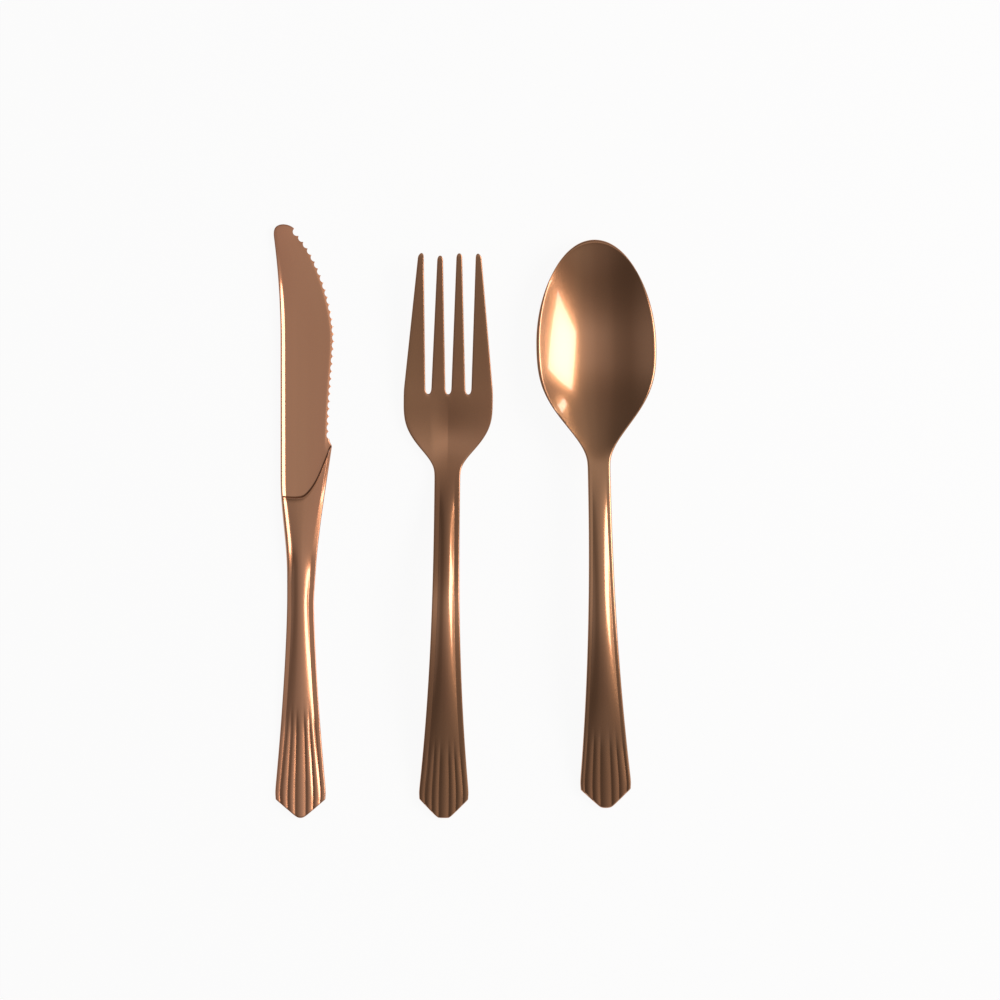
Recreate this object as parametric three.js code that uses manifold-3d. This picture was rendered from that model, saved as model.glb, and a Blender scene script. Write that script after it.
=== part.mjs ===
// A set of moulded plastic cutlery, a knife, a fork and a spoon with fluted fan handles, laid side by side.
// Millimetres, +Z up, resting on z = 0. Each piece is drawn along +Y from the point of its handle at y = 0,
// as rows of points that have a top and an underside, and is then laid in its place and turned a little.
import * as THREE from 'three';
import { mergeVertices } from 'three/addons/utils/BufferGeometryUtils.js';
import Module from 'manifold-3d';

// The layout on the table.
const knifeToFork = 45.9; // between the handles' points
const forkToSpoon = 51.4;
const spoonSetBack = 3.2; // how far the spoon's point lies beyond the others
const forkTurn = -0.65; // degrees about +Z
const spoonTurn = 1.0;

// The handle that the three pieces share.
const wall = 1.6; // moulded thickness
const beadRise = 0.95; // the raised bead above the flat flange at each edge
const beadFade = 15; // length over which the bead runs out towards the head
const pointDepth = 6; // length of the V at the handle's end
const pointWidth = 1.4; // blunt tip of that V
const cornerCut = 0.4; // how much the V's shoulders are rounded off
const centreFluteWidth = 3.6;
const fluteDepth = 0.55;
const fluteFade = 9; // length over which a flute runs out

// The knife.
const knifeLength = 190;
const knifeEndWidth = 16.8;
const knifeNeckWidth = 8.6;
const knifeFlange = 1.5;
const knifeFlareLength = 70;
const knifeFlareCurve = 1.5;
const knifeFluteLength = 36;
const knifeNeckAt = 86; // where the bead has run out
const neckFrom = 78; // where the handle starts to widen towards the blade
const neckReach = 5.5; // from the handle's line to its edge where the bead has run out
const neckCrown = 0.75; // low crown of the neck beyond the bead
const bolsterAt = 102.4; // the blade's lower border at the back
const bolsterSlant = 16.6; // how much further along that border meets the cutting edge
const bolsterReach = 10.1; // how far it stands out there from the handle's line
const bolsterLip = 0.35; // raised lip along the border
const lipWidth = 0.5;
const heelReach = 9.1; // from the handle's line to the cutting edge just beyond the bolster
const heelStep = 2.3;
const squareAt = 141; // where the blade's rows of points no longer slant
const spineAt = 108; // where the blade's back has its full reach
const spineReach = 6.4; // from the handle's line to the back of the blade
const bellyAt = 153; // where the cutting edge turns towards the nose
const bladeReach = 10.9; // from the handle's line to the cutting edge there
const noseReach = 9.1; // from the handle's line to the back of the nose
const noseLean = 6.4; // how far the nose's tip lies to the side of that line
const noseRound = 2.6; // length of the rounded nose
const noseShape = 1.65; // 2 is an ellipse, less is straighter
const ribWidth = 1.3;
const ribHeight = 2.3;
const ribTail = 24; // how far the rib runs on down the neck
const spineThickness = 1.7; // blade face beside the rib
const faceThickness = 1.0; // blade face beside the ground edge
const edgeThickness = 0.8;
const edgeWidth = 1.3; // width of the ground edge
const toothPitch = 2.4;
const toothDepth = 0.75;

// The fork.
const forkLength = 180.6;
const forkEndWidth = 16.5;
const forkNeckWidth = 8.3;
const forkFlange = 1.8;
const forkFlareLength = 100;
const forkFlareCurve = 2.4;
const forkFluteLength = 26;
const forkArch = 10.5; // height of the handle's arch
const forkArchAt = 68;
const forkNeckAt = 110.5; // where the bead has run out
const forkHeadWidth = 28.6;
const forkHeadAt = 132.5; // where the head is widest
const forkDish = 0.6; // hollow of the head
const tineRootAt = 136.5;
const tineSpread = 20.3; // across the outer tines at their tips
const tineTipWidth = 1.9;
const tineTipGap = 4.2; // between the two inner tines at their tips
const slotWidth = 1.8; // between tines at the root
const innerTineWidth = 4.6; // at the root
const tineRise = 8; // height of the tips' underside
const shortTine = 0.8; // how much shorter the second tine from the left is

// The spoon.
const spoonLength = 181.8;
const spoonEndWidth = 16.9;
const spoonNeckWidth = 7.3;
const spoonFlange = 1.4;
const spoonFlareLength = 108;
const spoonFlareCurve = 2.2;
const spoonFluteLength = 26;
const spoonArch = 11; // height of the handle's arch
const spoonArchAt = 64;
const spoonNeckAt = 110; // where the bead has run out
const bowlWidth = 38.4;
const bowlAt = 148; // where the bowl is widest
const bowlDepth = 7.4;
const bowlTipDrop = 1.2; // how much lower the rim is at the front

// Columns of points run from the left edge to the right one: a flange, five flutes and the other flange,
// each of them four faces wide. A column's rank is how many flutes it lies from the centre line.
const facesPerFlute = 4;
const flutes = 7;
const lastColumn = flutes * facesPerFlute;
const allColumns = Array.from({ length: lastColumn + 1 }, (_, column) => column);
const rank = (column) => (column - lastColumn / 2) / facesPerFlute;
const beadShape = 2.2; // 2 is a parabola, more is squarer
const swellLean = 1.5; // how late a head narrows towards its neck
const bowlTaper = 0.06; // how much more pointed the bowl's front is than an ellipse

const mix = (a, b, t) => a + (b - a) * t;
const clamp = (t) => Math.min(1, Math.max(0, t));
const ease = (t) => clamp(t) ** 2 * (3 - 2 * clamp(t));
const dome = (t) => Math.sqrt(Math.max(0, 1 - (2 * t - 1) ** 2)); // a round arch over 0 to 1
const steps = (from, to, count) => Array.from({ length: count }, (_, k) => mix(from, to, (k + 1) / count));

// A smooth function through [at, value] pairs that never overshoots them.
function through(points) {
  const rise = points.slice(1).map(([x, y], k) => (y - points[k][1]) / (x - points[k][0]));
  const slope = points.map((_, k) => {
    if (k === 0) return rise[0];
    if (k === points.length - 1) return rise[k - 1];
    return rise[k - 1] * rise[k] <= 0 ? 0 : (2 * rise[k - 1] * rise[k]) / (rise[k - 1] + rise[k]);
  });
  return (x) => {
    const k = Math.max(0, points.findLastIndex(([at], n) => at <= x && n < points.length - 1));
    const [x0, y0] = points[k];
    const [x1, y1] = points[k + 1];
    const t = clamp((x - x0) / (x1 - x0));
    const bow = (x1 - x0) * t * (1 - t) * (slope[k] * (1 - t) - slope[k + 1] * t);
    return y0 * (1 + 2 * t) * (1 - t) ** 2 + y1 * t * t * (3 - 2 * t) + bow;
  };
}

// Where a column lies, from the distances of four borders to the centre line: those of the centre flute,
// the two flutes beside it and the flange.
function across(column, borders) {
  const at = Math.abs(rank(column));
  const k = Math.min(3, Math.floor(at + 0.5));
  const inner = k === 0 ? 0 : borders[k - 1];
  const innerAt = k === 0 ? 0 : k - 0.5;
  return Math.sign(rank(column)) * mix(inner, borders[k], (at - innerAt) / (k + 0.5 - innerAt));
}

// Half the width of a handle, at a distance y from its point.
function handleHalf(piece, y) {
  const t = clamp((piece.flareLength - y) / (piece.flareLength - pointDepth));
  return mix(piece.neckWidth, piece.endWidth, t ** piece.flareCurve) / 2;
}

function handleBorders(piece, half) {
  const bead = half - piece.flange;
  const centre = (bead * centreFluteWidth) / (piece.endWidth - 2 * piece.flange);
  return [centre, (centre + bead) / 2, bead, half];
}

// What the bead adds to a column, and what the flutes take from its top.
function beadAt(piece, column, x, y, bead) {
  if (Math.abs(rank(column)) > 2.5) return 0;
  return beadRise * ease((piece.neckAt - y) / beadFade) * (1 - Math.abs(x / bead) ** beadShape);
}

function fluteAt(piece, column, y) {
  const fromCrest = 2 * Math.abs(rank(column) - Math.round(rank(column)));
  return fluteDepth * fromCrest ** 2 * ease((piece.fluteLength - y) / fluteFade);
}

// Rows of points run from the handle's point to the head. The first lies on the V, and the next ones
// straighten out: bend is how much of the V a row has.
const pointRows = [[0, 1], [2, 0.65], [4.6, 0.3], [8.4, 0]].map(([y, bend]) => ({ y, bend }));
const straightRows = (places) => places.map((y) => ({ y, bend: 0 }));

const handleRows = (piece) => [
  ...pointRows,
  ...straightRows(steps(pointRows.at(-1).y, piece.fluteLength, 4)),
  ...straightRows(steps(piece.fluteLength, piece.neckAt - beadFade, 4)),
  ...straightRows(steps(piece.neckAt - beadFade, piece.neckAt, 3)),
];

// A head's width grows from the neck to its widest place along an S-shaped curve.
function grownAt(piece, y) {
  const t = clamp((piece.headAt - y) / (piece.headAt - piece.neckAt));
  return (1 + Math.cos(Math.PI * t ** swellLean)) / 2;
}

// A point of the handle, or of the stretch where it widens into a dished head.
function stemPoint(piece, column, row) {
  const grown = grownAt(piece, row.y);
  const narrow = handleHalf(piece, row.y + row.bend * pointDepth) - cornerCut * row.bend ** 2;
  const half = mix(narrow, piece.headWidth / 2, grown);
  const borders = handleBorders(piece, half).map((border, k) => mix(border, piece.shares[k] * half, grown));
  const x = across(column, borders);
  const blunt = pointWidth / 2;
  const y = row.y + row.bend * pointDepth * clamp((Math.abs(x) - blunt) / (half - blunt));
  const dish = piece.dish * grown * (1 - (x / half) ** 2);
  const body = piece.line(y) + beadAt(piece, column, x, y, borders[2]) - dish;
  return { x, y, top: body - fluteAt(piece, column, y), under: body - wall };
}

// A closed solid from rows of points { x, y, top, under }, without the cells that isGap picks out.
function sheetSolid(rows, isGap = () => false) {
  const width = rows[0].length;
  const count = rows.length * width;
  const points = rows.flat();
  const corners = [...points.map((p) => [p.x, p.y, p.top]), ...points.map((p) => [p.x, p.y, p.under])];
  const faces = [];
  const edges = new Map();
  for (let row = 0; row < rows.length - 1; row++) {
    for (let column = 0; column < width - 1; column++) {
      if (isGap(row, column)) continue;
      const first = row * width + column;
      const [a, b, c, d] = [first, first + 1, first + 1 + width, first + width];
      faces.push([a, b, c], [a, c, d], [c + count, b + count, a + count], [d + count, c + count, a + count]);
      for (const edge of [[a, b], [b, c], [c, d], [d, a]]) edges.set(edge.join(), edge);
    }
  }
  for (const [from, to] of edges.values()) {
    if (edges.has([to, from].join())) continue;
    faces.push([to, from, from + count], [to, from + count, to + count]);
  }
  const geometry = new THREE.BufferGeometry();
  geometry.setAttribute('position', new THREE.Float32BufferAttribute(corners.flat(), 3));
  geometry.setIndex(faces.flat());
  return geometry;
}

const pointsOf = (rows, point) => rows.map((row) => allColumns.map((column) => point(column, row)));
const evenShares = [1, 3, 5, 7].map((n) => n / flutes);

// The spoon: a handle that widens into a bowl, whose front is half an ellipse.
function spoonGeometry() {
  const spoon = {
    endWidth: spoonEndWidth, neckWidth: spoonNeckWidth, flange: spoonFlange, flareLength: spoonFlareLength,
    flareCurve: spoonFlareCurve, fluteLength: spoonFluteLength, neckAt: spoonNeckAt,
    headAt: bowlAt, headWidth: bowlWidth, dish: bowlDepth, shares: evenShares,
    line: through([
      [0, wall], [spoonArchAt, wall + spoonArch], [bowlAt, wall + bowlDepth],
      [spoonLength, wall + bowlDepth - bowlTipDrop],
    ]),
  };
  // Towards the front, rows and columns bend to meet the rim squarely.
  const frontPoint = (column, v) => {
    const u = across(column, evenShares);
    const along = v * Math.sqrt(1 - u ** 2 / 2);
    const x = (bowlWidth / 2) * u * Math.sqrt(1 - v ** 2 / 2) * (1 - bowlTaper * along ** 2);
    const y = mix(bowlAt, spoonLength, along);
    const top = spoon.line(y) - bowlDepth * (1 - u ** 2) * (1 - v ** 2);
    return { x, y, top, under: top - wall };
  };
  const stemRows = [...handleRows(spoon), ...straightRows(steps(spoonNeckAt, bowlAt, 7))];
  return sheetSolid([
    ...pointsOf(stemRows, (column, row) => stemPoint(spoon, column, row)),
    ...pointsOf([0.2, 0.4, 0.58, 0.74, 0.88, 1], frontPoint),
  ]);
}

// The fork: a handle that widens into a dished head, and four tines with round tips and round slots.
function forkGeometry() {
  const headHalf = forkHeadWidth / 2;
  const tipHalf = tineSpread / 2;
  const slotHalf = slotWidth / 2;
  const outerRoot = slotHalf + innerTineWidth + slotWidth;
  const rootBorders = [slotHalf, slotHalf + innerTineWidth, outerRoot, headHalf];
  const tipBorders = [tineTipGap / 2, tineTipGap / 2 + tineTipWidth, tipHalf - tineTipWidth, tipHalf];
  const fork = {
    endWidth: forkEndWidth, neckWidth: forkNeckWidth, flange: forkFlange, flareLength: forkFlareLength,
    flareCurve: forkFlareCurve, fluteLength: forkFluteLength, neckAt: forkNeckAt,
    headAt: forkHeadAt, headWidth: forkHeadWidth, dish: forkDish,
    shares: rootBorders.map((border) => border / headHalf),
    line: through([
      [0, wall], [forkArchAt, wall + forkArch], [forkHeadAt, wall + forkDish], [forkLength, wall + tineRise],
    ]),
  };
  // Tines and slots take turns across the columns, from the left tine on. A tine's row t is 0 at the slots'
  // round roots and 1 at its own round tip.
  const isSlot = (column) => Math.floor(column / facesPerFlute) % 2 === 1;
  const tinePoint = (column, t) => {
    const x = across(column, rootBorders.map((border, k) => mix(border, tipBorders[k], t)));
    const tine = Math.round(column / (2 * facesPerFlute) - 0.25);
    const place = column / facesPerFlute - 2 * tine; // 0 to 1 across the tine, the slots lie to its sides
    const inSlot = place < 0 ? place + 1 : place - 1;
    const tip = forkLength - tineTipWidth / 2 - (tine === 1 ? shortTine : 0);
    const rootBow = t === 0 ? slotHalf * dome(clamp(inSlot)) : 0;
    const tipBow = t === 1 ? (tineTipWidth / 2) * dome(clamp(place)) : 0;
    const y = mix(tineRootAt, tip, t) - rootBow + tipBow;
    const half = mix(headHalf, tipHalf, t);
    const top = fork.line(y) - mix(forkDish, forkDish / 4, t) * (1 - (x / half) ** 2);
    return { x, y, top, under: top - wall };
  };
  const stemRows = [...handleRows(fork), ...straightRows(steps(forkNeckAt, forkHeadAt, 6))];
  const tineRows = [0, 0.14, 0.3, 0.46, 0.62, 0.78, 0.92, 0.975, 1];
  return sheetSolid([
    ...pointsOf(stemRows, (column, row) => stemPoint(fork, column, row)),
    ...pointsOf(tineRows, tinePoint),
  ], (row, column) => row >= stemRows.length && isSlot(column));
}

// The knife's back and its front, which has the cutting edge, as distances from the handle's line.
const knife = {
  endWidth: knifeEndWidth, neckWidth: knifeNeckWidth, flange: knifeFlange, flareLength: knifeFlareLength,
  flareCurve: knifeFlareCurve, fluteLength: knifeFluteLength, neckAt: knifeNeckAt,
  headAt: knifeLength, headWidth: knifeNeckWidth, dish: 0, shares: evenShares, line: () => wall,
};
const bolsterTip = bolsterAt + bolsterSlant;
const noseShare = (y) => clamp((y - bellyAt) / (knifeLength - bellyAt));

function backReach(y) {
  const widened = (spineReach - knifeNeckWidth / 2) * ease((y - neckFrom) / (spineAt - neckFrom));
  return handleHalf(knife, y) + widened + (noseReach - spineReach) * noseShare(y) ** 2;
}

const neckFront = through([
  [knifeFlareLength, knifeNeckWidth / 2], [knifeNeckAt, neckReach], [bolsterTip, bolsterReach],
]);
const bladeFront = through([
  [bolsterTip, bolsterReach], [bolsterTip + heelStep, heelReach], [bellyAt, bladeReach],
]);

function frontReach(y) {
  if (y <= knifeFlareLength) return handleHalf(knife, y);
  if (y <= bolsterTip) return neckFront(y);
  if (y <= bellyAt) return bladeFront(y);
  const nose = (1 - noseShare(y) ** noseShape) ** (1 / noseShape);
  return mix(-noseLean, bladeReach, nose);
}

// The blade's columns: three faces over the rib, the flat face, and two over the ground edge.
const ribColumns = 3;
const edgeColumns = 2;

function bladeX(column, left, right) {
  const ribFoot = left + ribWidth;
  const faceEnd = right - edgeWidth;
  if (column <= ribColumns) return mix(left, ribFoot, column / ribColumns);
  if (column >= lastColumn - edgeColumns) return mix(faceEnd, right, 1 - (lastColumn - column) / edgeColumns);
  return mix(ribFoot, faceEnd, (column - ribColumns) / (lastColumn - edgeColumns - ribColumns));
}

function bladeTop(column) {
  const onFace = clamp((column - ribColumns) / (lastColumn - edgeColumns - ribColumns));
  const onEdge = clamp(1 - (lastColumn - column) / edgeColumns);
  return mix(mix(spineThickness, faceThickness, onFace), edgeThickness, onEdge);
}

// The rib's height above a face, where it runs on down the neck, and the neck's low crown.
const onRib = (column) => (column > 0 && column < ribColumns ? 1 : 0);
const tailFade = (y) => ease((y - bolsterAt + ribTail) / ribTail);
const ribTailAt = (column, y) => (ribHeight - wall) * onRib(column) * tailFade(y);
const crownAt = (column) => neckCrown * (1 - (rank(column) / (flutes / 2)) ** 2);

// The bolster's border runs square to the back at first, and then slants along to the cutting edge.
const slantShare = through([[0, 0], [0.25, 0], [0.38, 0.04], [0.48, 0.16], [0.62, 0.39], [0.77, 0.69], [1, 1]]);
const slantAt = (column) => bolsterSlant * slantShare(column / lastColumn);

// A point of the knife's handle, whose two sides widen differently towards the blade.
function knifeHandlePoint(column, row) {
  const { x, y, top, under } = stemPoint(knife, column, row);
  const side = (x < 0 ? backReach(y) : frontReach(y)) / handleHalf(knife, y);
  const crown = crownAt(column) * ease((y - knifeNeckAt + beadFade) / beadFade);
  return { x: x * side, y, top: top + crown + ribTailAt(column, y), under };
}

// A point of the neck up to the bolster: slant is how much of the bolster's slope a row has.
function neckPoint(column, row) {
  const y = row.y + row.slant * slantAt(column);
  const [left, right] = [-backReach(y), frontReach(y)];
  const half = (right - left) / 2;
  const handleX = (left + right) / 2 + across(column, handleBorders(knife, half));
  const nearness = ease((row.y - knifeNeckAt) / (bolsterAt - knifeNeckAt));
  const neckTop = wall + crownAt(column) + ribTailAt(column, y) + row.lip;
  return { x: mix(handleX, bladeX(column, left, right), nearness), y, top: neckTop, under: 0 };
}

// A point of the blade, whose last row is the round nose.
function bladePoint(column, row) {
  const edgeY = row.y + row.slant * slantAt(column);
  const x = bladeX(column, -backReach(edgeY), frontReach(edgeY));
  const y = edgeY + row.nose * noseRound * dome((column / lastColumn) ** 0.75);
  const face = bladeTop(column) + (ribHeight - spineThickness) * onRib(column);
  return { x, y, top: mix(face, faceThickness, row.nose), under: 0 };
}

function knifeGeometry(wasm) {
  const heelAt = bolsterAt + heelStep;
  const noseAt = knifeLength - noseRound;
  const lipAt = bolsterAt - lipWidth;
  const neckRows = [0.35, 0.7, 1].map((t) => ({ y: mix(knifeNeckAt, lipAt, t), slant: t, lip: 0 }));
  const slantRows = [1, 0.75, 0.5, 0.25, 0].map((t) => ({ y: mix(squareAt, heelAt, t), slant: t, nose: 0 }));
  const squareRows = [...steps(squareAt, bellyAt, 2), ...steps(bellyAt, noseAt, 8)];
  const blank = sheetSolid([
    ...pointsOf(handleRows(knife), knifeHandlePoint),
    ...pointsOf([...neckRows, { y: bolsterAt, slant: 1, lip: bolsterLip }], neckPoint),
    ...pointsOf([{ y: bolsterAt + lipWidth, slant: 1, nose: 0 }, ...slantRows], bladePoint),
    ...pointsOf(squareRows.map((y) => ({ y, slant: 0, nose: 0 })), bladePoint),
    ...pointsOf([{ y: noseAt, slant: 0, nose: 1 }], bladePoint),
  ]);
  // Each tooth is the point left between two round scallops in the edge.
  const merged = mergeVertices(blank, 1e-4);
  const body = new wasm.Manifold(new wasm.Mesh({
    numProp: 3,
    vertProperties: merged.attributes.position.array,
    triVerts: new Uint32Array(merged.index.array),
  }));
  const radius = (toothPitch ** 2 / 4 + toothDepth ** 2) / (2 * toothDepth);
  const scallop = wasm.Manifold.cylinder(4 * ribHeight, radius, radius, 14, true);
  const scallops = [];
  let y = bolsterTip + heelStep + toothPitch / 2;
  while (y < noseAt) {
    const slope = (frontReach(y + 0.05) - frontReach(y - 0.05)) / 0.1;
    const stretch = Math.hypot(1, slope);
    const out = (radius - toothDepth) / stretch;
    scallops.push(scallop.translate([frontReach(y) + out, y - out * slope, 0]));
    y += toothPitch / stretch;
  }
  const cut = body.subtract(wasm.Manifold.union(scallops)).getMesh();
  const geometry = new THREE.BufferGeometry();
  geometry.setAttribute('position', new THREE.Float32BufferAttribute(cut.vertProperties, cut.numProp));
  geometry.setIndex(new THREE.BufferAttribute(cut.triVerts, 1));
  return geometry;
}

const wasm = await Module();
wasm.setup();

const pack = new THREE.Group();
const copperPlastic = new THREE.MeshStandardMaterial({ color: 0xa8795a, roughness: 0.3, metalness: 0.9 });
const spoonX = knifeToFork + forkToSpoon;
for (const [name, geometry, x, y, turn] of [
  ['knife', knifeGeometry(wasm), 0, 0, 0],
  ['fork', forkGeometry(), knifeToFork, 0, forkTurn],
  ['spoon', spoonGeometry(), spoonX, spoonSetBack, spoonTurn],
]) {
  const piece = new THREE.Mesh(geometry, copperPlastic.clone());
  piece.name = name;
  piece.position.set(x, y, 0);
  piece.rotation.z = THREE.MathUtils.degToRad(turn);
  pack.add(piece);
}

// The set's own origin is the middle of its footprint.
const footprint = new THREE.Box3().setFromObject(pack, true);
const middle = footprint.getCenter(new THREE.Vector3());
for (const piece of pack.children) piece.position.sub(new THREE.Vector3(middle.x, middle.y, footprint.min.z));

export default pack;
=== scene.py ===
"""A knife, a fork and a spoon of glossy copper-brown plastic, laid side by side on a white table.

Sizes are written in millimetres and become metres where a mesh is made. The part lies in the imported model's
frame: +X from the knife across to the spoon, +Y along the handles towards the blade, tines and bowl, +Z up.
"""

import math

import bmesh
import bpy
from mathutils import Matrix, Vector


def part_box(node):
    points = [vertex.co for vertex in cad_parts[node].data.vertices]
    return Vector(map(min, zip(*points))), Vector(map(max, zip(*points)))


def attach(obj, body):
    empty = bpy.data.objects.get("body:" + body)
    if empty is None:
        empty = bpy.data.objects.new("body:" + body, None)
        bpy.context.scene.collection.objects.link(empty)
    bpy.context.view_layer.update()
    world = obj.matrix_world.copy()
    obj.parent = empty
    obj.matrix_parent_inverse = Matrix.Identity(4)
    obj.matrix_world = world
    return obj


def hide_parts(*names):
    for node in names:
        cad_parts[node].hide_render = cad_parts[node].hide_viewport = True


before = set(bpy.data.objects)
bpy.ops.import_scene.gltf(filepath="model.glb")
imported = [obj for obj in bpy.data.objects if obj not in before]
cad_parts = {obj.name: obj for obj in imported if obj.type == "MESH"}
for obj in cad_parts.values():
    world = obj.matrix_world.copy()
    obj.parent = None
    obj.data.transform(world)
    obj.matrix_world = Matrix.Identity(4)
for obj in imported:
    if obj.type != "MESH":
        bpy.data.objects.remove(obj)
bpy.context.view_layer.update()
mm = 0.001

# The camera hangs high above the table and looks straight down, so that nothing is foreshortened.
# The photograph's middle lies to the right of the set's own and a little beyond it.
camera_height = 3000
view_width = 320
sensor_width = 36
view_middle = (11.4, 6.76)

bpy.context.scene.view_settings.view_transform = "Standard"
bpy.ops.object.camera_add(
    location=(view_middle[0] * mm, view_middle[1] * mm, camera_height * mm), rotation=(0, 0, 0)
)
camera = bpy.context.object
camera.name = "overhead_camera"
camera.data.sensor_width = sensor_width
camera.data.lens = sensor_width * camera_height / view_width
camera.data.clip_start = 0.05
bpy.context.scene.camera = camera

# One square soft box hangs to the right of the table, on its corner, and gives the long highlights. A narrow
# strip beyond it adds a streak along the bowl's rim. Both face the middle of the set.
box_distance = 1000


def hang_box(name, size, from_above, azimuth, turn, power, colour):
    """Hangs an area light, turned in its plane, tipped from straight above and swung round the set."""
    bpy.ops.object.light_add(type="AREA")
    box = bpy.context.object
    box.name = name
    bpy.ops.transform.rotate(value=math.radians(turn), orient_axis="Z", center_override=(0, 0, 0))
    bpy.ops.transform.translate(value=(0, 0, box_distance * mm))
    bpy.ops.transform.rotate(value=-math.radians(from_above), orient_axis="Y", center_override=(0, 0, 0))
    bpy.ops.transform.rotate(value=-math.radians(azimuth), orient_axis="Z", center_override=(0, 0, 0))
    box.data.shape = "RECTANGLE"
    box.data.size, box.data.size_y = size[0] * mm, size[1] * mm
    box.data.energy = power
    box.data.color = colour


hang_box("soft_box", (515, 515), from_above=52.2, azimuth=10.5, turn=36, power=5.4, colour=(1, 0.92, 0.91))
hang_box("side_strip", (200, 70), from_above=72, azimuth=37, turn=0, power=0.35, colour=(1, 0.95, 0.88))

# The room is dark on the left and grows paler over the top to almost white on the right, which shades the
# metallic surfaces. It dims towards the near and the far end, and a low light comes from everywhere.
world = bpy.data.worlds.new("studio_room")
bpy.context.scene.world = world
world.use_nodes = True
nodes = world.node_tree.nodes
links = world.node_tree.links
nodes.clear()
facing = nodes.new("ShaderNodeTexCoord")
parts = nodes.new("ShaderNodeSeparateXYZ")
room_tone = nodes.new("ShaderNodeValToRGB")
room_tone.color_ramp.elements[0].position = 0.02
room_tone.color_ramp.elements[0].color = (0.34, 0.34, 0.345, 1)
room_tone.color_ramp.elements[1].position = 0.71
room_tone.color_ramp.elements[1].color = (0.95, 0.93, 0.9, 1)
for place, tone in ((0.11, 0.18), (0.25, 0.27), (0.37, 0.46), (0.5, 0.58), (0.55, 0.7), (0.65, 0.78)):
    room_tone.color_ramp.elements.new(place).color = (tone, tone * 0.99, tone * 0.98, 1)
width_range = nodes.new("ShaderNodeMapRange")
width_range.inputs["From Min"].default_value = -1
length_range = nodes.new("ShaderNodeMapRange")
length_range.inputs["From Min"].default_value = -1
end_tone = nodes.new("ShaderNodeValToRGB")
end_tone.color_ramp.elements[0].position = 0.2
end_tone.color_ramp.elements[0].color = (0.4, 0.4, 0.4, 1)
end_tone.color_ramp.elements[1].position = 0.75
end_tone.color_ramp.elements[1].color = (0.4, 0.4, 0.4, 1)
end_tones = ((0.275, 0.25), (0.335, 0.32), (0.39, 0.48), (0.46, 0.85), (0.5, 1), (0.575, 0.9), (0.65, 0.55))
for place, tone in end_tones:
    end_tone.color_ramp.elements.new(place).color = (tone, tone, tone, 1)
room_light = nodes.new("ShaderNodeBackground")
low_light = nodes.new("ShaderNodeBackground")
low_light.inputs["Color"].default_value = (0.07, 0.07, 0.07, 1)
all_light = nodes.new("ShaderNodeAddShader")
room = nodes.new("ShaderNodeOutputWorld")
links.new(facing.outputs["Generated"], parts.inputs["Vector"])
links.new(parts.outputs["X"], width_range.inputs["Value"])
links.new(width_range.outputs["Result"], room_tone.inputs["Fac"])
links.new(room_tone.outputs["Color"], room_light.inputs["Color"])
links.new(parts.outputs["Y"], length_range.inputs["Value"])
links.new(length_range.outputs["Result"], end_tone.inputs["Fac"])
links.new(end_tone.outputs["Color"], room_light.inputs["Strength"])
links.new(room_light.outputs["Background"], all_light.inputs[0])
links.new(low_light.outputs["Background"], all_light.inputs[1])
links.new(all_light.outputs["Shader"], room.inputs["Surface"])

# The table is plain white paper. It shows as white by itself, and keeps a little of the light that falls on
# it, so that the pieces' soft shadows stay.
paper_glow = 0.93
paper_colour = (0.86, 0.86, 0.86, 1)
table_size = 6000
table_drop = 0.02

bpy.ops.mesh.primitive_plane_add(size=table_size * mm, location=(0, 0, -table_drop * mm))
table = bpy.context.object
table.name = "white_table"
bpy.ops.object.transform_apply(location=True)
paper = bpy.data.materials.new("white_paper")
paper.use_nodes = True
nodes = paper.node_tree.nodes
links = paper.node_tree.links
nodes.clear()
lit_paper = nodes.new("ShaderNodeBsdfDiffuse")
lit_paper.inputs["Color"].default_value = paper_colour
shining_paper = nodes.new("ShaderNodeEmission")
shining_paper.inputs["Color"].default_value = (1, 1, 1, 1)
ray = nodes.new("ShaderNodeLightPath")
seen_directly = nodes.new("ShaderNodeMath")
seen_directly.operation = "MAXIMUM"
seen_at_all = nodes.new("ShaderNodeMath")
seen_at_all.operation = "MAXIMUM"
glow_share = nodes.new("ShaderNodeMath")
glow_share.operation = "MULTIPLY"
glow_share.inputs[1].default_value = paper_glow
paper_mix = nodes.new("ShaderNodeMixShader")
paper_out = nodes.new("ShaderNodeOutputMaterial")
links.new(ray.outputs["Is Camera Ray"], seen_directly.inputs[0])
links.new(ray.outputs["Is Glossy Ray"], seen_directly.inputs[1])
links.new(seen_directly.outputs["Value"], seen_at_all.inputs[0])
links.new(ray.outputs["Is Transmission Ray"], seen_at_all.inputs[1])
links.new(seen_at_all.outputs["Value"], glow_share.inputs[0])
links.new(glow_share.outputs["Value"], paper_mix.inputs["Fac"])
links.new(lit_paper.outputs["BSDF"], paper_mix.inputs[1])
links.new(shining_paper.outputs["Emission"], paper_mix.inputs[2])
links.new(paper_mix.outputs["Shader"], paper_out.inputs["Surface"])
table.data.materials.append(paper)

# The knife: one moulding of copper-brown plastic. Its handle is a sheet with a raised bead between two flat
# flanges, which spreads into a fan of flutes and ends in a V. Past a slanting bolster comes a thin blade
# with a rib along its back, a ground cutting edge, and teeth that are the points between round scallops.
wall = 1.6
bead_shape = 2.1
flute_depth = 0.38
flute_fade = 9
flange_flute = 0.45  # the depth that is left in the middle of the flange's flute, as a share
valley_crease = 0.8
smooth_angle = 38
point_depth = 6
point_round = 0.1
corner_cut = 0.4
row_gap = 100
parked = 1000
snap = 0.01  # how near a column a point has to lie to belong to it

# Every piece starts as a grid of columns. They are counted from 0 in the middle over 1, where the bead ends,
# to 2 at the flange's edge, and borders are the columns where one flute ends and the next begins.
borders = [0.265, 0.6325, 1, 2]


def mix(a, b, t):
    return a + (b - a) * t


def clamp(t):
    return min(1, max(0, t))


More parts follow.
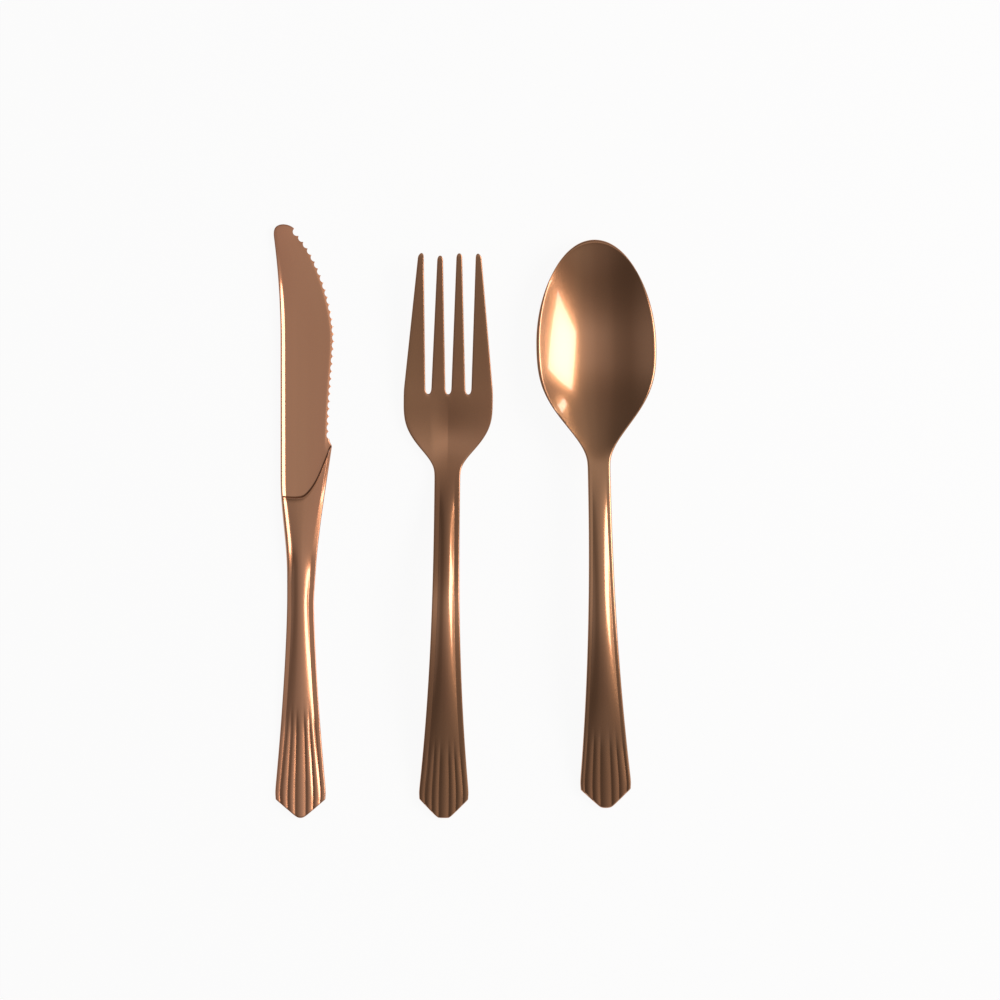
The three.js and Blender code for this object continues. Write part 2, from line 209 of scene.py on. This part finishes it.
def ease(t):
    return clamp(t) ** 2 * (3 - 2 * clamp(t))


def dome(t):
    """Returns a round arch over 0 to 1."""
    return math.sqrt(max(0, 1 - (2 * t - 1) ** 2))


def through(points):
    """Returns a smooth function through pairs of place and value, which never overshoots them."""
    rise = [(y1 - y0) / (x1 - x0) for (x0, y0), (x1, y1) in zip(points, points[1:])]
    slope = [rise[0]]
    for before, after in zip(rise, rise[1:]):
        slope.append(0 if before * after <= 0 else 2 * before * after / (before + after))
    slope.append(rise[-1])

    def value(x):
        k = max([0] + [n for n, (at, _) in enumerate(points[:-1]) if at <= x])
        (x0, y0), (x1, y1) = points[k], points[k + 1]
        t = clamp((x - x0) / (x1 - x0))
        bow = (x1 - x0) * t * (1 - t) * (slope[k] * (1 - t) - slope[k + 1] * t)
        return y0 * (1 + 2 * t) * (1 - t) ** 2 + y1 * t * t * (3 - 2 * t) + bow

    return value


def flute_column(rank):
    """Returns the column that lies rank flutes away from the middle."""
    if rank <= 0.5:
        return 2 * rank * borders[0]
    return mix(borders[0], 1, (rank - 0.5) / 2)


def grid_columns(flange_columns):
    """Returns the columns of a piece, from the left edge to the right, with the given ones in its flanges."""
    half = [flute_column(n / 4) for n in range(1, 11)] + flange_columns
    return [-column for column in reversed(half)] + [0] + half


columns = grid_columns([1.15, 1.4, 1.75, 2])


def pick(where):
    """Selects the points in edit mode whose place in millimetres answers where(x, y, z)."""
    cage = bmesh.from_edit_mesh(bpy.context.edit_object.data)
    for point in cage.verts:
        if not point.hide:
            point.select_set(where(point.co.x / mm, point.co.y / mm, point.co.z / mm))
    cage.select_flush_mode()
    bmesh.update_edit_mesh(bpy.context.edit_object.data)


def stretch(x=1, y=1, z=1, about=(0, 0, 0)):
    bpy.ops.transform.resize(value=(x, y, z), center_override=[place * mm for place in about])


def shift(x=0, y=0, z=0):
    bpy.ops.transform.translate(value=(x * mm, y * mm, z * mm))


def start_grid(name, row_count):
    """Adds a grid in edit mode whose columns and rows are parked far away, to be brought in row by row."""
    bpy.ops.object.select_all(action="DESELECT")
    last_column = len(columns) - 1
    bpy.ops.mesh.primitive_grid_add(x_subdivisions=last_column, y_subdivisions=row_count - 1, size=2)
    piece = bpy.context.object
    piece.name = name
    bpy.ops.object.mode_set(mode="EDIT")
    length = (row_count - 1) * row_gap
    stretch(x=last_column * mm / 2, y=length * mm / 2)
    shift(x=2 * parked + last_column / 2, y=parked + length / 2)
    for number, column in enumerate(columns):
        pick(lambda x, y, z: abs(x - 2 * parked - number) < 0.1)
        shift(x=column - parked - number)
    return piece


def row_of(y):
    """Returns the number of the parked row that a place belongs to."""
    return round((y - parked) / row_gap)


def nudge(number, by):
    """Moves each point of a parked row by by(column), how far along the piece and how far up."""
    moves = {}
    for column in columns:
        along, up = by(column)
        moves.setdefault((round(along, 4), round(up, 4)), []).append(column)
    for (along, up), moved in moves.items():
        if along or up:
            pick(lambda x, y, z: row_of(y) == number and any(abs(x - parked - c) < snap for c in moved))
            shift(y=along, z=up)


def bring_in(number, place, left, right, centre=0):
    """Brings a parked row to its place along the piece, its borders to their distances from a centre."""
    lanes = [(-borders[0], borders[0], -left[0], right[0])]
    for n in range(3):
        lanes.append((borders[n], borders[n + 1], right[n], right[n + 1]))
        lanes.append((-borders[n + 1], -borders[n], -left[n + 1], -left[n]))
    for first, last, start, end in lanes:
        pick(lambda x, y, z: row_of(y) == number and first - snap / 10 < x - parked < last + snap / 10)
        stretch(x=(end - start) / (last - first), about=(parked + first, 0, 0))
        shift(x=start - first - parked)
    pick(lambda x, y, z: row_of(y) == number)
    shift(x=centre, y=place - parked - number * row_gap)


def across(column, left, right):
    """Returns where a column of a row comes to lie across the piece."""
    side = right if column > 0 else left
    starts = [0, *borders]
    ends = [0, *side]
    n = max(k for k in range(4) if starts[k] <= abs(column))
    share = (abs(column) - starts[n]) / (starts[n + 1] - starts[n])
    return math.copysign(mix(ends[n], ends[n + 1], share), column)


def handle_half(y, end_width, neck_width, flare_length, flare_curve):
    """Returns half the width of a handle at a distance y from its point."""
    flare = clamp((flare_length - y) / (flare_length - point_depth))
    return mix(neck_width, end_width, flare**flare_curve) / 2


def handle_borders(half, flange):
    bead = half - flange
    return [bead * borders[0], bead * borders[1], bead, half]


def bead_at(column):
    """Returns the bead's share of its height at a column."""
    return 1 - abs(column) ** bead_shape if abs(column) < 1 else 0


def flute_at(column):
    """Returns how deep the flutes are at a column: nothing on a crest, all of it in the valley beside it."""
    column = abs(column)
    if column > 1:
        return flute_depth * mix(flange_flute, 1, abs(2 * (column - 1) - 1) ** 2)
    if column <= borders[0]:
        from_crest = column / borders[0]
    else:
        rank = 0.5 + 2 * (column - borders[0]) / (1 - borders[0])
        from_crest = 2 * abs(rank - round(rank))
    return flute_depth * from_crest**2


# The rows at the V: how far each lies from the point, and how much of the V it has.
point_rows = [(0, 1), (0.7, 0.94), (2, 0.82), (4, 0.6), (6.5, 0.34), (9.5, 0.12), (12.5, 0)]


def v_at(x, bend, half, blunt):
    """Returns how far the V pushes a point of a row along the piece; its tip is blunt and rounded."""
    t = clamp((abs(x) - blunt) / (half - blunt))
    share = (math.hypot(t, point_round) - point_round) / (math.hypot(1, point_round) - point_round)
    return bend * point_depth * share


def crease_valleys(row_count, bead_row_count):
    """Keeps the valleys between the flutes sharp along some parked rows, and the bead's foot along more."""
    for column, rows in zip(borders[:3], (row_count, row_count, bead_row_count)):
        for side in (-column, column):
            pick(lambda x, y, z: row_of(y) < rows and abs(x - parked - side) < snap)
            bpy.ops.transform.edge_crease(value=valley_crease)


def use_modifier(piece, kind, **settings):
    """Adds a modifier to a piece and applies it."""
    modifier = piece.modifiers.new(kind.title(), kind)
    for setting, value in settings.items():
        setattr(modifier, setting, value)
    bpy.ops.object.modifier_apply(modifier=modifier.name)


def thicken(depth):
    """Turns the open cage in edit mode into a solid that lies on the table, and shows only its underside."""
    bpy.ops.mesh.select_all(action="SELECT")
    bpy.ops.mesh.extrude_region_move(TRANSFORM_OT_translate={"value": (0, 0, -depth * mm)})
    bpy.ops.mesh.hide(unselected=True)
    pick(lambda x, y, z: z < 0)
    stretch(z=0)


def round_rims(width, crisp_below=-1):
    """Rounds the rims of a cage in edit mode, but keeps the ones that lie below some height crisp."""
    bpy.ops.mesh.reveal(select=False)
    bpy.ops.mesh.select_mode(type="FACE")
    bpy.ops.mesh.select_all(action="DESELECT")
    cage = bmesh.from_edit_mesh(bpy.context.edit_object.data)
    cage.normal_update()
    for face in cage.faces:
        face.select_set(abs(face.normal.z) < 0.01)
    bmesh.update_edit_mesh(bpy.context.edit_object.data)
    bpy.ops.mesh.region_to_loop()
    rims = bmesh.from_edit_mesh(bpy.context.edit_object.data)
    creases = rims.edges.layers.float.get("crease_edge") or rims.edges.layers.float.new("crease_edge")
    for edge in [edge for edge in rims.edges if edge.select]:
        if max(point.co.z for point in edge.verts) < crisp_below * mm:
            edge[creases] = 1
            edge.select_set(False)
    bmesh.update_edit_mesh(bpy.context.edit_object.data)
    bpy.ops.mesh.bevel(offset=width * mm, segments=2, profile=0.5, clamp_overlap=False)
    bpy.ops.mesh.select_mode(type="VERT")
    bpy.ops.mesh.select_all(action="SELECT")
    bpy.ops.mesh.normals_make_consistent(inside=False)
    bpy.ops.object.mode_set(mode="OBJECT")


def lay_at(x, y, turn):
    """Turns the active piece about its point and moves it to its place, within its mesh, and smooths it."""
    bpy.ops.object.mode_set(mode="EDIT")
    bpy.ops.mesh.reveal(select=False)
    bpy.ops.mesh.select_all(action="SELECT")
    bpy.ops.transform.rotate(value=-math.radians(turn), orient_axis="Z", center_override=(0, 0, 0))
    shift(x=x, y=y)
    bpy.ops.object.mode_set(mode="OBJECT")
    bpy.ops.object.shade_smooth_by_angle(angle=math.radians(smooth_angle))


def copper_plastic(name, rosy, golden):
    """Makes metallic copper-brown plastic with a clear, slightly hazy gloss, streaked along its length."""
    material = bpy.data.materials.new(name)
    material.use_nodes = True
    nodes = material.node_tree.nodes
    links = material.node_tree.links
    skin = nodes["Principled BSDF"]
    place = nodes.new("ShaderNodeTexCoord")
    along = nodes.new("ShaderNodeMapping")
    along.inputs["Scale"].default_value = (1, 0.14, 1)
    flow = nodes.new("ShaderNodeTexNoise")
    flow.inputs["Scale"].default_value = 45
    flow.inputs["Detail"].default_value = 3
    tint = nodes.new("ShaderNodeValToRGB")
    tint.color_ramp.elements[0].position = 0.3
    tint.color_ramp.elements[0].color = rosy
    tint.color_ramp.elements[1].position = 0.7
    tint.color_ramp.elements[1].color = golden
    gloss = nodes.new("ShaderNodeMapRange")
    gloss.inputs["To Min"].default_value = 0.22
    gloss.inputs["To Max"].default_value = 0.27
    grain = nodes.new("ShaderNodeTexNoise")
    grain.inputs["Scale"].default_value = 220
    grain.inputs["Detail"].default_value = 2
    ripple = nodes.new("ShaderNodeBump")
    ripple.inputs["Strength"].default_value = 0.12
    ripple.inputs["Distance"].default_value = 0.0001
    links.new(place.outputs["Object"], along.inputs["Vector"])
    links.new(along.outputs["Vector"], flow.inputs["Vector"])
    links.new(place.outputs["Object"], grain.inputs["Vector"])
    links.new(flow.outputs["Fac"], tint.inputs["Fac"])
    links.new(tint.outputs["Color"], skin.inputs["Base Color"])
    links.new(flow.outputs["Fac"], gloss.inputs["Value"])
    links.new(gloss.outputs["Result"], skin.inputs["Roughness"])
    links.new(grain.outputs["Fac"], ripple.inputs["Height"])
    links.new(ripple.outputs["Normal"], skin.inputs["Normal"])
    links.new(ripple.outputs["Normal"], skin.inputs["Coat Normal"])
    haze = nodes.new("ShaderNodeBsdfGlossy")
    haze.inputs["Color"].default_value = (1, 0.94, 0.78, 1)
    haze.inputs["Roughness"].default_value = 0.2
    hazy_skin = nodes.new("ShaderNodeMixShader")
    hazy_skin.inputs["Fac"].default_value = 0.055
    links.new(skin.outputs["BSDF"], hazy_skin.inputs[1])
    links.new(haze.outputs["BSDF"], hazy_skin.inputs[2])
    links.new(hazy_skin.outputs["Shader"], nodes["Material Output"].inputs["Surface"])
    skin.inputs["Metallic"].default_value = 1
    skin.inputs["Coat Weight"].default_value = 1
    skin.inputs["Coat Roughness"].default_value = 0.03
    return material


knife_length = 190
knife_end_width = 16.8
knife_neck_width = 8.6
knife_flange = 1.75
knife_blunt = 0.4
knife_flare = (70, 1.5)  # how far the handle tapers from its point, and how curved the taper is
knife_fluted_length = 36
knife_bead_end = 86
hollow_fade = (66, 85)
neck_from = 78
neck_reach = 5.5
neck_crown = 0.85
neck_shape = 1.5
neck_fade = (79, 87)
bolster_at = 102.4
bolster_slant = 16.6
bolster_reach = 10.1
bolster_lip = 0.15
bolster_lip_from = 101.9
heel_reach = 9.1
heel_step = 2.3
spine_at = 108
spine_reach = 6.4
belly_at = 153
blade_reach = 10.9
nose_reach = 9.1
nose_lean = 6.4
nose_round = 3.2
nose_shape = 1.65
nose_skew = 0.8
rib_tail = 26.4
rib_taper = 9
rib_fade = (160, 182)
edge_from = 90
edge_width = 1.3
flat_heights = (1.62, 1.12)  # of the blade's face beside the rib and beside the ground edge
flat_shape = 1.15
edge_height = 0.8
rib_profile = {-2: 1.85, -1.75: 2.3, -1.4: 1.95, -1.15: 1.68}
rib_on_neck = {-2: 0.3, -1.75: 1, -1.4: 0.46, -1.15: 0.06}
tooth_pitch = 2.4
tooth_depth = 0.75
toothless_nose = 2.2
scallop_sides = 48
scallop_height = 12
knife_rim = 0.28
knife_crisp_below = 0.4
knife_shift = 0.2
neck_edge_drop = 0.35
neck_edge_fade = (91, 103)

bolster_tip = bolster_at + bolster_slant
nose_at = knife_length - nose_round
neck_front = through([(knife_flare[0], knife_neck_width / 2), (knife_bead_end, neck_reach),
                      (bolster_tip, bolster_reach)])
blade_front = through([(bolster_tip, bolster_reach), (bolster_tip + heel_step, heel_reach),
                       (belly_at, blade_reach)])


def knife_half(y):
    return handle_half(y, knife_end_width, knife_neck_width, *knife_flare)


def back_reach(y):
    widened = (spine_reach - knife_neck_width / 2) * ease((y - neck_from) / (spine_at - neck_from))
    nose = clamp((y - belly_at) / (knife_length - belly_at))
    return knife_half(y) + widened + (nose_reach - spine_reach) * nose**2


def front_reach(y):
    if y <= knife_flare[0]:
        return knife_half(y)
    if y <= bolster_tip:
        return neck_front(y)
    if y <= belly_at:
        return blade_front(y)
    nose = clamp((y - belly_at) / (knife_length - belly_at))
    return mix(-nose_lean, blade_reach, (1 - nose**nose_shape) ** (1 / nose_shape))


rib_band = through([(78, 1.5), (88, 2.3), (98, 2.2), (104, 1.7), (165, 1.5), (188, 0.9)])

# The bolster's border runs square to the back at first, and then slants along to the cutting edge.
slant_share = through([(0, 0.02), (0.29, 0), (0.41, 0.02), (0.51, 0.075), (0.61, 0.19), (0.7, 0.333),
                       (0.784, 0.51), (0.856, 0.687), (0.914, 0.823), (0.957, 0.946), (1, 1)])


knife_bead = through([(0, 0.25), (18, 0.35), (36, 0.95), (70, 1.05), (knife_bead_end, 0.95)])


def faded(y, fade):
    """Returns how far a place has come along a fade, from 0 at its start to 1 at its end."""
    return ease((y - fade[0]) / (fade[1] - fade[0]))


def neck_top(column, y):
    """Returns the height of the neck: a low ridge, and the rib that tapers out along its back."""
    ridge = wall + neck_crown * (1 - abs(column / 2) ** neck_shape) * faded(y, neck_fade)
    ridge -= neck_edge_drop * max(0, column - 1) * faded(y, neck_edge_fade)
    return ridge + rib_on_neck.get(column, 0) * ease((y - bolster_at + rib_tail) / rib_taper)


def blade_top(column, y):
    """Returns the height of the blade, whose rib runs out towards the nose."""
    if column in rib_profile:
        return mix(rib_profile[column], flat_heights[0], faded(y, rib_fade))
    if column <= 1:
        return mix(*flat_heights, ((column + 1) / 2) ** flat_shape)
    return mix(flat_heights[1], edge_height, column - 1)


# Each row: where it lies at the back of the knife, and how much of the bolster's slant it has.
straight_rows = [16, 19, 22, 25, 28, 31, 34, 37, 41, 46, 51, 56, 61, 66, 70, 73, 76, 79, 82, 85]
knife_rows = [(y, 0) for y, bend in point_rows] + [(y, 0) for y in straight_rows]
knife_rows += [(88, 0.12), (91, 0.3), (94, 0.52), (97, 0.74), (99.7, 0.92), (101.4, 1), (102.1, 1)]
knife_rows += [(bolster_at, 1)]
first_blade = len(knife_rows)
knife_rows += [(102.65, 1), (103, 1), (104.2, 0.97), (107, 0.88), (111, 0.76), (116, 0.62), (122, 0.46)]
knife_rows += [(128, 0.3), (134, 0.15), (139.5, 0.04), (144, 0), (148, 0), (152, 0), (156, 0), (160, 0)]
knife_rows += [(164, 0), (168, 0), (171.5, 0), (175, 0), (178, 0), (181, 0), (183.4, 0), (185.6, 0)]
knife_rows += [(nose_at, 0)]
last_row = len(knife_rows) - 1

knife = start_grid("table_knife", len(knife_rows))
crease_valleys(row_count=15, bead_row_count=22)
for number, (y, slant) in enumerate(knife_rows):
    bend = point_rows[number][1] if number < len(point_rows) else 0
    start = y + bend * point_depth
    reach = [back_reach(start), front_reach(start + slant * bolster_slant)]
    if bend:
        reach = [half - corner_cut * bend**2 for half in reach]
    bladed = faded(y, (edge_from, bolster_at))
    centre = (reach[1] - reach[0]) / 2 * faded(y, (belly_at, knife_length))
    left = handle_borders(reach[0] + centre, rib_band(y))
    right = handle_borders(reach[1] - centre, mix(knife_flange, edge_width, bladed))

    def knife_move(column):
        x = across(column, left, right)
        share = (x + centre + reach[0]) / (reach[0] + reach[1])
        along = v_at(x, bend, reach[0], knife_blunt) + slant * bolster_slant * slant_share(share)
        if number == last_row:
            along += nose_round * dome(share**nose_skew)
        if number >= first_blade:
            return along, blade_top(column, y)
        lip = bolster_lip if y > bolster_lip_from else 0
        fluted = ease((knife_fluted_length - y) / flute_fade)
        bead = bead_at(column) * knife_bead(y) * (1 - faded(y, neck_fade)) - flute_at(column) * fluted
        return along, neck_top(column, y) + bead + lip

    nudge(number, knife_move)
    bring_in(number, y, left, right, centre)

# The underside: the handle is hollow below its bead, the neck and the blade are solid and flat.
thicken(wall)
cage = bmesh.from_edit_mesh(knife.data)
places = sorted({round(point.co.y / mm, 2) for point in cage.verts})
for at in [at for at in places if hollow_fade[0] < at <= hollow_fade[1]]:
    pick(lambda x, y, z: round(y, 2) == at)
    stretch(z=1 - faded(at, hollow_fade))
pick(lambda x, y, z: y > hollow_fade[1])
stretch(z=0)
round_rims(knife_rim, knife_crisp_below)
use_modifier(knife, "SUBSURF", levels=2, render_levels=2)

# The teeth are left between round scallops, cut along the edge from just past the bolster to the nose.
scallop_radius = (tooth_pitch**2 / 4 + tooth_depth**2) / (2 * tooth_depth)
scallops = []
y = bolster_tip + heel_step + tooth_pitch / 2
step = 0.05
while y < knife_length - toothless_nose:
    slope = (front_reach(y + step) - front_reach(y - step)) / (2 * step)
    length = math.hypot(1, slope)
    out = (scallop_radius - tooth_depth) / length
    bpy.ops.mesh.primitive_cylinder_add(
        vertices=scallop_sides,
        radius=scallop_radius * mm,
        depth=scallop_height * mm,
        location=((front_reach(y) + out) * mm, (y - out * slope) * mm, 0),
    )
    scallops.append(bpy.context.object)
    y += tooth_pitch / length
bpy.ops.object.select_all(action="DESELECT")
for scallop in scallops:
    scallop.select_set(True)
bpy.context.view_layer.objects.active = scallops[0]
bpy.ops.object.join()
cutter = bpy.context.object
bpy.ops.object.select_all(action="DESELECT")
knife.select_set(True)
bpy.context.view_layer.objects.active = knife
use_modifier(knife, "BOOLEAN", object=cutter, operation="DIFFERENCE", solver="EXACT", use_self=True)
bpy.data.objects.remove(cutter)

knife_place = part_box("knife")
lay_at(knife_place[0][0] / mm + nose_reach - knife_shift, knife_place[0][1] / mm, turn=0)
knife.data.materials.append(copper_plastic("knife_plastic", (0.41, 0.138, 0.054, 1), (0.44, 0.172, 0.068, 1)))
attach(knife, "root")
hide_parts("knife")

# The spoon: one moulding of the same plastic. Its handle, of the same make as the knife's, rises in an arch
# and comes down into a deep oval bowl, whose rim dips a little towards the front.
spoon_length = 181.8
spoon_end_width = 16.9
spoon_neck_width = 7.3
spoon_flange = 1.4
spoon_flare = (108, 2.2)
spoon_fluted_length = 26
spoon_arch = 10.7
spoon_arch_at = 64
spoon_neck_at = 110
bowl_width = 38.4
bowl_at = 148
bowl_depth = 7.4
bowl_tip_drop = 1.2
bowl_taper = 0.06
lip_share = 0.945  # of the bowl's half width lies within its flat lip
front_lip_share = 0.965
growth_shape = 1.5
bead_fade = 15
spoon_turn = 1.25
spoon_blunt = 1.1
spoon_rim = 0.5
spoon_bead = through([(0, 0.25), (18, 0.45), (41, 1.35), (54, 1.35), (73, 0.98), (92, 0.5), (110, 0.1)])

spoon_line = through([(0, wall), (spoon_arch_at, wall + spoon_arch), (bowl_at, wall + bowl_depth),
                      (spoon_length, wall + bowl_depth - bowl_tip_drop)])
spoon_stem = [16, 19, 22, 25, 28, 32, 37, 43, 50, 57, 64, 71, 78, 84, 90, 95, 99, 103, 107]
spoon_stem += [110, 112, 114, 116, 118, 120.5, 123, 126, 129, 132.5, 136, 140, 144, 148]
spoon_front = [0.13, 0.26, 0.39, 0.52, 0.64, 0.75, 0.84, 0.91, 0.965, 1]
spoon_rows = [y for y, bend in point_rows] + spoon_stem


def grown_at(y, neck_at, head_at):
    """Returns how much of a head's width and hollow has grown at a place, along an S-shaped curve."""
    t = clamp((head_at - y) / (head_at - neck_at))
    return (1 + math.cos(math.pi * t**growth_shape)) / 2


def follow(line):
    """Lifts every point of the cage in edit mode by the height of a line that runs along the piece."""
    cage = bmesh.from_edit_mesh(bpy.context.edit_object.data)
    for at in sorted({round(point.co.y / mm, 2) for point in cage.verts}):
        pick(lambda x, y, z: round(y, 2) == at)
        shift(z=line(at))


def stem_borders(half, flange, head_shares, grown):
    narrow = handle_borders(half, flange)
    return [mix(border, share * half, grown) for border, share in zip(narrow, head_shares)]


# The flanges of the spoon and of the fork have their columns nearer to the bead than the knife's.
columns = grid_columns([1.12, 1.3, 1.52, 2])
spoon = start_grid("table_spoon", len(spoon_rows) + len(spoon_front))
crease_valleys(row_count=12, bead_row_count=20)
bowl_shares = [0.26, 0.62, lip_share, 1]
for number, y in enumerate(spoon_rows):
    bend = point_rows[number][1] if number < len(point_rows) else 0
    grown = grown_at(y, spoon_neck_at, bowl_at)
    narrow = handle_half(y + bend * point_depth, spoon_end_width, spoon_neck_width, *spoon_flare)
    half = mix(narrow - corner_cut * bend**2, bowl_width / 2, grown)
    sides = stem_borders(half, spoon_flange, bowl_shares, grown)
    beaded = ease((spoon_neck_at - y) / bead_fade)
    fluted = ease((spoon_fluted_length - y) / flute_fade)

    def spoon_move(column):
        x = across(column, sides, sides)
        dish = bowl_depth * grown * max(0, 1 - (x / half / mix(1, lip_share, grown)) ** 2)
        bead = bead_at(column) * spoon_bead(y) * beaded - flute_at(column) * fluted
        return v_at(x, bend, half, spoon_blunt), bead - dish

    nudge(number, spoon_move)
    bring_in(number, y, sides, sides)

for number, v in enumerate(spoon_front, len(spoon_rows)):
    half = bowl_width / 2 * math.sqrt(1 - v**2 / 2) * (1 - bowl_taper * v**2 / 2)
    sides = [share * half for share in bowl_shares]

    def front_move(column):
        u = across(column, sides, sides) / half
        along = (spoon_length - bowl_at) * v * math.sqrt(1 - u**2 / 2)
        inside = max(0, 1 - (u / lip_share) ** 2) * max(0, 1 - (v / front_lip_share) ** 2)
        return along, -bowl_depth * inside

    nudge(number, front_move)
    bring_in(number, bowl_at, sides, sides)

follow(spoon_line)
thicken(wall)
round_rims(spoon_rim)
use_modifier(spoon, "SUBSURF", levels=2, render_levels=2)
spoon_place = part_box("spoon")
spoon_x = (spoon_place[0][0] + spoon_place[1][0]) / 2 / mm + bowl_at * math.sin(math.radians(spoon_turn))
lay_at(spoon_x, spoon_place[0][1] / mm, spoon_turn)
copper_tones = ((0.39, 0.142, 0.05, 1), (0.42, 0.178, 0.066, 1))
spoon.data.materials.append(copper_plastic("spoon_plastic", *copper_tones))
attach(spoon, "root")
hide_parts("spoon")

# The fork: one moulding of the same plastic. Its arched handle widens into a dished head with four tapering
# tines, which rise towards their round tips. The second one from the left ends a little sooner.
fork_length = 180.6
fork_end_width = 16.5
fork_neck_width = 8.3
fork_flange = 1.8
fork_flare = (100, 2.4)
fork_fluted_length = 26
fork_arch = 10.5
fork_arch_at = 68
fork_neck_at = 110.5
fork_head_width = 28.6
fork_head_at = 132.5
fork_dish = 0.15
fork_hollow_at = 118
fork_hollow_height = 0.5
fork_rise_at = 136
fork_head_rise = 2
throat_at = 123
throat_length = 8
throat_depth = 0.55
throat_widths = (5, 11)  # on the left and on the right of its crease
throat_first_row = 28
fork_rim = 0.36
fork_blunt = 1.4
fork_bead = through([(0, 0.25), (18, 0.45), (50, 1.25), (63, 1.15), (76, 1), (89, 0.95), (102, 0.6),
                     (110, 0.2)])
tine_root_at = 136.5
tine_spread = 20.3
tine_tip_width = 1.9
tine_tip_gap = 4.2
slot_width = 1.8
inner_tine_width = 4.6
tine_rise = 8
short_tine = 0.8
fork_turn = -0.65

fork_line = through([(0, wall), (fork_arch_at, wall + fork_arch), (fork_hollow_at, wall + fork_hollow_height),
                     (fork_rise_at, wall + fork_head_rise), (fork_length, wall + tine_rise)])
slot_half = slot_width / 2
root_borders = [slot_half, slot_half + inner_tine_width, 1.5 * slot_width + inner_tine_width,
                fork_head_width / 2]
tip_borders = [tine_tip_gap / 2, tine_tip_gap / 2 + tine_tip_width, tine_spread / 2 - tine_tip_width,
               tine_spread / 2]
root_shares = [border / root_borders[3] for border in root_borders]
fork_stem = [16, 19, 22, 25, 28, 32, 37, 43, 50, 57, 64, 71, 78, 84, 90, 95, 99, 103, 107]
fork_stem += [110.5, 112.5, 114.5, 116.5, 118.5, 121, 124, 127, 130, 132.5]
tine_shares = [0, 0.04, 0.1, 0.2, 0.35, 0.5, 0.65, 0.8, 0.9, 0.95, 0.975, 1]
fork_rows = [y for y, bend in point_rows] + fork_stem
first_tine = len(fork_rows)

fork = start_grid("table_fork", first_tine + len(tine_shares))
crease_valleys(row_count=12, bead_row_count=20)
pick(lambda x, y, z: throat_first_row <= row_of(y) < first_tine and abs(x - parked) < snap)
bpy.ops.transform.edge_crease(value=valley_crease)
pick(lambda x, y, z: row_of(y) >= first_tine and (
    abs(x - parked) < borders[0] + snap or borders[1] - snap < abs(x - parked) < borders[2] + snap))
bpy.ops.mesh.delete(type="FACE")
for number, y in enumerate(fork_rows):
    bend = point_rows[number][1] if number < len(point_rows) else 0
    grown = grown_at(y, fork_neck_at, fork_head_at)
    narrow = handle_half(y + bend * point_depth, fork_end_width, fork_neck_width, *fork_flare)
    half = mix(narrow - corner_cut * bend**2, fork_head_width / 2, grown)
    sides = stem_borders(half, fork_flange, root_shares, grown)
    beaded = ease((fork_neck_at - y) / bead_fade)
    fluted = ease((fork_fluted_length - y) / flute_fade)

    def fork_move(column):
        x = across(column, sides, sides)
        dish = fork_dish * grown * (1 - (x / half) ** 2)
        throat = max(0, 1 - abs(x) / throat_widths[0 if x < 0 else 1])
        dish += throat_depth * throat * math.exp(-(((y - throat_at) / throat_length) ** 2))
        bead = bead_at(column) * fork_bead(y) * beaded - flute_at(column) * fluted
        return v_at(x, bend, half, fork_blunt), bead - dish

    nudge(number, fork_move)
    bring_in(number, y, sides, sides)

for number, t in enumerate(tine_shares, first_tine):
    sides = [mix(root, tip, t) for root, tip in zip(root_borders, tip_borders)]

    def tine_move(column):
        x = across(column, sides, sides)
        dish = mix(fork_dish, fork_dish / 4, t) * (1 - (x / sides[3]) ** 2)
        short = short_tine if -sides[1] - snap < x < -sides[0] + snap else 0
        along = (fork_length - tine_tip_width / 2 - short - tine_root_at) * t
        if t == 0 and abs(x) < sides[0]:
            along -= slot_half * dome(x / sides[0] / 2 + 0.5)
        if t == 0 and sides[1] < abs(x) < sides[2]:
            along -= slot_half * dome((abs(x) - sides[1]) / (sides[2] - sides[1]))
        if t == 1 and sides[0] < abs(x) < sides[1]:
            along += tine_tip_width / 2 * dome((abs(x) - sides[0]) / (sides[1] - sides[0]))
        if t == 1 and abs(x) > sides[2]:
            along += tine_tip_width / 2 * dome((abs(x) - sides[2]) / (sides[3] - sides[2]))
        return along, -dish

    nudge(number, tine_move)
    bring_in(number, tine_root_at, sides, sides)

follow(fork_line)
thicken(wall)
round_rims(fork_rim)
use_modifier(fork, "SUBSURF", levels=2, render_levels=2)
fork_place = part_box("fork")
fork_x = (fork_place[0][0] + fork_place[1][0]) / 2 / mm + fork_head_at * math.sin(math.radians(fork_turn))
lay_at(fork_x, fork_place[0][1] / mm, fork_turn)
fork.data.materials.append(copper_plastic("fork_plastic", *copper_tones))
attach(fork, "root")
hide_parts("fork")
